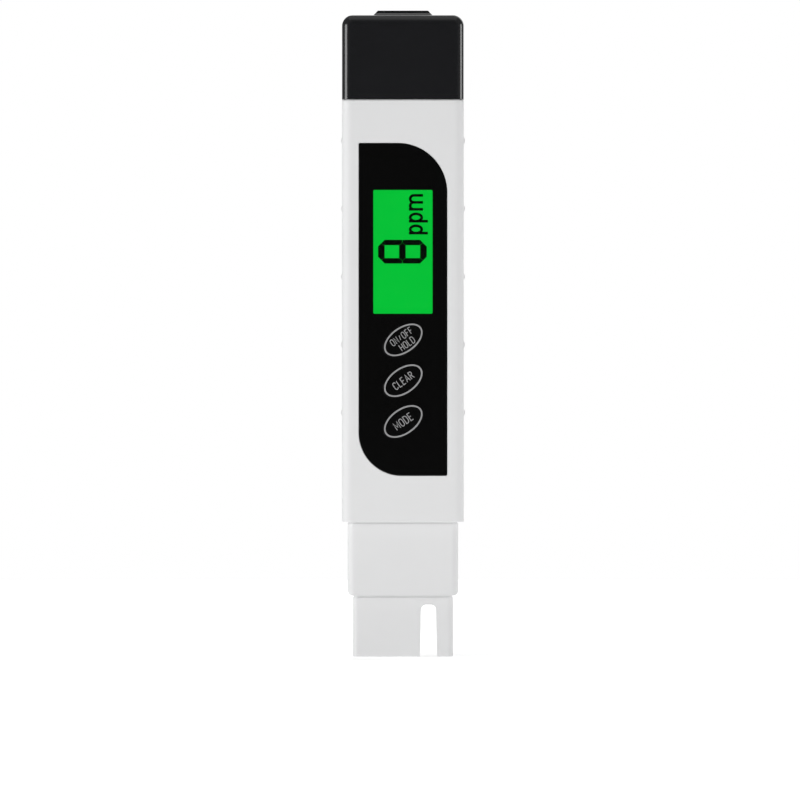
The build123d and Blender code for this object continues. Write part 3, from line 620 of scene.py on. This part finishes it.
def clip_pad_painted_highlight_band():
    """A painted highlight: a paler grey band along the foot of the clip, on the front of the cap's low pad,
    standing in for light caught there.
    """
    clip_low, clip_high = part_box("clip_foot")
    cap_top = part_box("battery_cap")[1].z
    half = clip_high.x
    rise = clip_high.z - cap_top
    low = cap_top - PAD_BAND_HEIGHT
    slant = CLIP_TAPER * PAD_BAND_HEIGHT / rise
    outline = [(-half - slant, low), (half + slant, low), (half, cap_top), (-half, cap_top)]
    front = clip_low.y - PAD_BAND_FRONT
    band = bmesh.new()
    add_prism(band, outline, front, clip_low.y + PAD_BAND_FRONT)
    bevelled = [edge for edge in band.edges if edge.calc_length() > half]
    bmesh.ops.bevel(band, geom=bevelled, offset=PAD_BAND_BEVEL, segments=2, affect="EDGES",
                    clamp_overlap=True)
    # The band's pale grey is a painted highlight.
    finish_piece("clip_pad_painted_highlight_band", band, PAD_PAINTED_HIGHLIGHT_GREY, "cap")


# ---------------------------------------------------------------- battery carrier

MARK_SIZE = 1.5 * MM
MARK_PEN = 0.3 * MM
MARK_HEIGHT = 0.12 * MM


def add_top_bar(target, start, end, width, low, high):
    """A round-ended bar lying on a level face."""
    half = width / 2
    heading = math.degrees(math.atan2(end[1] - start[1], end[0] - start[0]))
    outline = arc(end[0], end[1], half, half, heading - 90, heading + 90, 6)
    outline += arc(start[0], start[1], half, half, heading + 90, heading + 270, 6)
    rings = [[target.verts.new((x, y, z)) for x, y in outline] for z in (low, high)]
    count = len(outline)
    for index in range(count):
        after = (index + 1) % count
        target.faces.new((rings[0][index], rings[0][after], rings[1][after], rings[1][index]))
    target.faces.new(rings[1])
    target.faces.new(reversed(rings[0]))


def polarity_marks():
    """A raised plus and a raised minus on the carrier's top, one for each cell."""
    carrier_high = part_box("battery_carrier")[1]
    foot = carrier_high.z - MARK_HEIGHT / 2
    marks = bmesh.new()
    half = MARK_SIZE / 2
    for name, vertical in (("left", False), ("right", True)):
        low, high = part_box("button_cell_" + name)
        x = (low.x + high.x) / 2
        y = (high.y + carrier_high.y) / 2
        bars = [((x - half, y), (x + half, y))]
        if vertical:
            bars.append(((x, y - half), (x, y + half)))
        for start, end in bars:
            add_top_bar(marks, start, end, MARK_PEN, foot, foot + 1.5 * MARK_HEIGHT)
    finish_piece("polarity_marks", marks, MATERIALS["carrier_black"], "tester")


# ---------------------------------------------------------------- studio

VIEW_CENTRE_X = -0.7 * MM
VIEW_CENTRE_Z = 61.2 * MM
VIEW_WIDTH = 190.3 * MM
LENS = 400.0
SENSOR = 36.0
FLOOR_RADIUS = 0.9
FLOOR_GLOW = 0.74
# SHADOW_GLOW, SHADOW_INNER and SHADOW_OUTER set a painted shadow: the floor glows less within a few
# centimetres of the tester.
SHADOW_GLOW = 0.5
SHADOW_INNER = 0.01
SHADOW_OUTER = 0.08


def camera():
    """Level and square on to the display, from about two metres away."""
    data = bpy.data.cameras.new("camera")
    data.lens = LENS
    data.sensor_width = SENSOR
    data.clip_start = 0.05
    data.clip_end = 20
    eye = bpy.data.objects.new("camera", data)
    distance = VIEW_WIDTH * LENS / SENSOR
    eye.location = (VIEW_CENTRE_X, cad_low.y - distance, VIEW_CENTRE_Z)
    eye.rotation_euler = (math.radians(90), 0, 0)
    bpy.context.scene.collection.objects.link(eye)
    bpy.context.scene.camera = eye


def floor_material():
    """Pale sheet that glows softly, as a light table does, with a painted soft shadow: its glow is turned
    down in a pool round the tester.
    """
    made = surface("floor_pale", (0.88, 0.88, 0.88), 0.7, shift=0.0, depth=0.0, specular=0.1)
    tree = made.node_tree
    coordinates = tree.nodes.new("ShaderNodeTexCoord")
    distance = tree.nodes.new("ShaderNodeVectorMath")
    distance.operation = "LENGTH"
    # Painted shadow: the glow falls off towards the middle of the sheet, where the tester stands.
    painted_shadow_pool = tree.nodes.new("ShaderNodeMapRange")
    painted_shadow_pool.interpolation_type = "SMOOTHSTEP"
    painted_shadow_pool.inputs["From Min"].default_value = SHADOW_INNER
    painted_shadow_pool.inputs["From Max"].default_value = SHADOW_OUTER
    painted_shadow_pool.inputs["To Min"].default_value = SHADOW_GLOW
    painted_shadow_pool.inputs["To Max"].default_value = FLOOR_GLOW
    tree.links.new(coordinates.outputs["Object"], distance.inputs[0])
    tree.links.new(distance.outputs["Value"], painted_shadow_pool.inputs["Value"])
    shader = tree.nodes["Principled BSDF"]
    shader.inputs["Emission Strength"].default_value = 1.0
    tree.links.new(painted_shadow_pool.outputs["Result"], shader.inputs["Emission Color"])
    return made


def floor():
    """Plain pale floor, a round sheet about the tester."""
    sheet = bmesh.new()
    bmesh.ops.create_circle(sheet, cap_ends=True, radius=FLOOR_RADIUS, segments=128)
    mesh = bpy.data.meshes.new("floor")
    sheet.to_mesh(mesh)
    sheet.free()
    mesh.materials.append(floor_material())
    piece = bpy.data.objects.new("floor", mesh)
    bpy.context.scene.collection.objects.link(piece)


def soft_light(name, place, target, size, power, mirrored=True):
    """One soft box aimed at a point. One that isn't mirrored draws no highlight on the gloss black parts."""
    data = bpy.data.lights.new(name, "AREA")
    data.shape = "RECTANGLE"
    data.size, data.size_y = size
    data.energy = power
    lamp = bpy.data.objects.new(name, data)
    lamp.location = place
    lamp.rotation_euler = (Vector(target) - Vector(place)).to_track_quat("-Z", "Y").to_euler()
    lamp.visible_glossy = mirrored
    bpy.context.scene.collection.objects.link(lamp)


def studio_world():
    """White surroundings, with a dark flag in front of the display so that the gloss black stays black."""
    world = bpy.data.worlds.new("studio")
    bpy.context.scene.world = world
    world.use_nodes = True
    tree = world.node_tree
    tree.nodes.clear()
    output = tree.nodes.new("ShaderNodeOutputWorld")
    mix = tree.nodes.new("ShaderNodeMixShader")
    rays = tree.nodes.new("ShaderNodeLightPath")
    plain = tree.nodes.new("ShaderNodeBackground")
    plain.inputs["Color"].default_value = (1, 1, 1, 1)
    lit = tree.nodes.new("ShaderNodeBackground")
    lit.inputs["Color"].default_value = (1, 1, 1, 1)
    coordinates = tree.nodes.new("ShaderNodeTexCoord")
    axes = tree.nodes.new("ShaderNodeSeparateXYZ")
    flag = tree.nodes.new("ShaderNodeMapRange")
    flag.interpolation_type = "SMOOTHSTEP"
    flag.inputs["From Min"].default_value = -0.95
    flag.inputs["From Max"].default_value = -0.6
    flag.inputs["To Min"].default_value = 0.02
    flag.inputs["To Max"].default_value = 0.16
    tree.links.new(coordinates.outputs["Generated"], axes.inputs["Vector"])
    tree.links.new(axes.outputs["Y"], flag.inputs["Value"])
    tree.links.new(flag.outputs["Result"], lit.inputs["Strength"])
    tree.links.new(rays.outputs["Is Camera Ray"], mix.inputs["Fac"])
    tree.links.new(lit.outputs["Background"], mix.inputs[1])
    tree.links.new(plain.outputs["Background"], mix.inputs[2])
    tree.links.new(mix.outputs["Shader"], output.inputs["Surface"])


def studio():
    """Camera, floor, surroundings and soft boxes."""
    camera()
    floor()
    studio_world()
    middle = (0, 0, 80 * MM)
    soft_light("key_left", (-0.87, -0.32, 0.19), middle, (0.5, 0.32), 2.1)
    soft_light("fill_right", (0.9, -0.02, 0.19), middle, (0.32, 0.32), 1.4)
    soft_light("front_left", (-0.65, -1.0, 0.6), middle, (1.3, 1.2), 5.5, False)
    soft_light("front_right", (0.8, -0.95, 0.6), middle, (1.2, 1.2), 1.75, False)
    soft_light("back", (0.35, 0.95, 0.5), middle, (1.0, 1.0), 3.5)
    soft_light("top", (0, 0, 1.2), middle, (1.2, 1.2), 1.5)
    bpy.context.scene.view_settings.view_transform = "Standard"


# ---------------------------------------------------------------- build

dress_cad_nodes()
for key_name in KEY_TEXT:
    key_print(key_name)
display_picture()
pocket_clip()
clip_pad_painted_highlight_band()
polarity_marks()
studio()
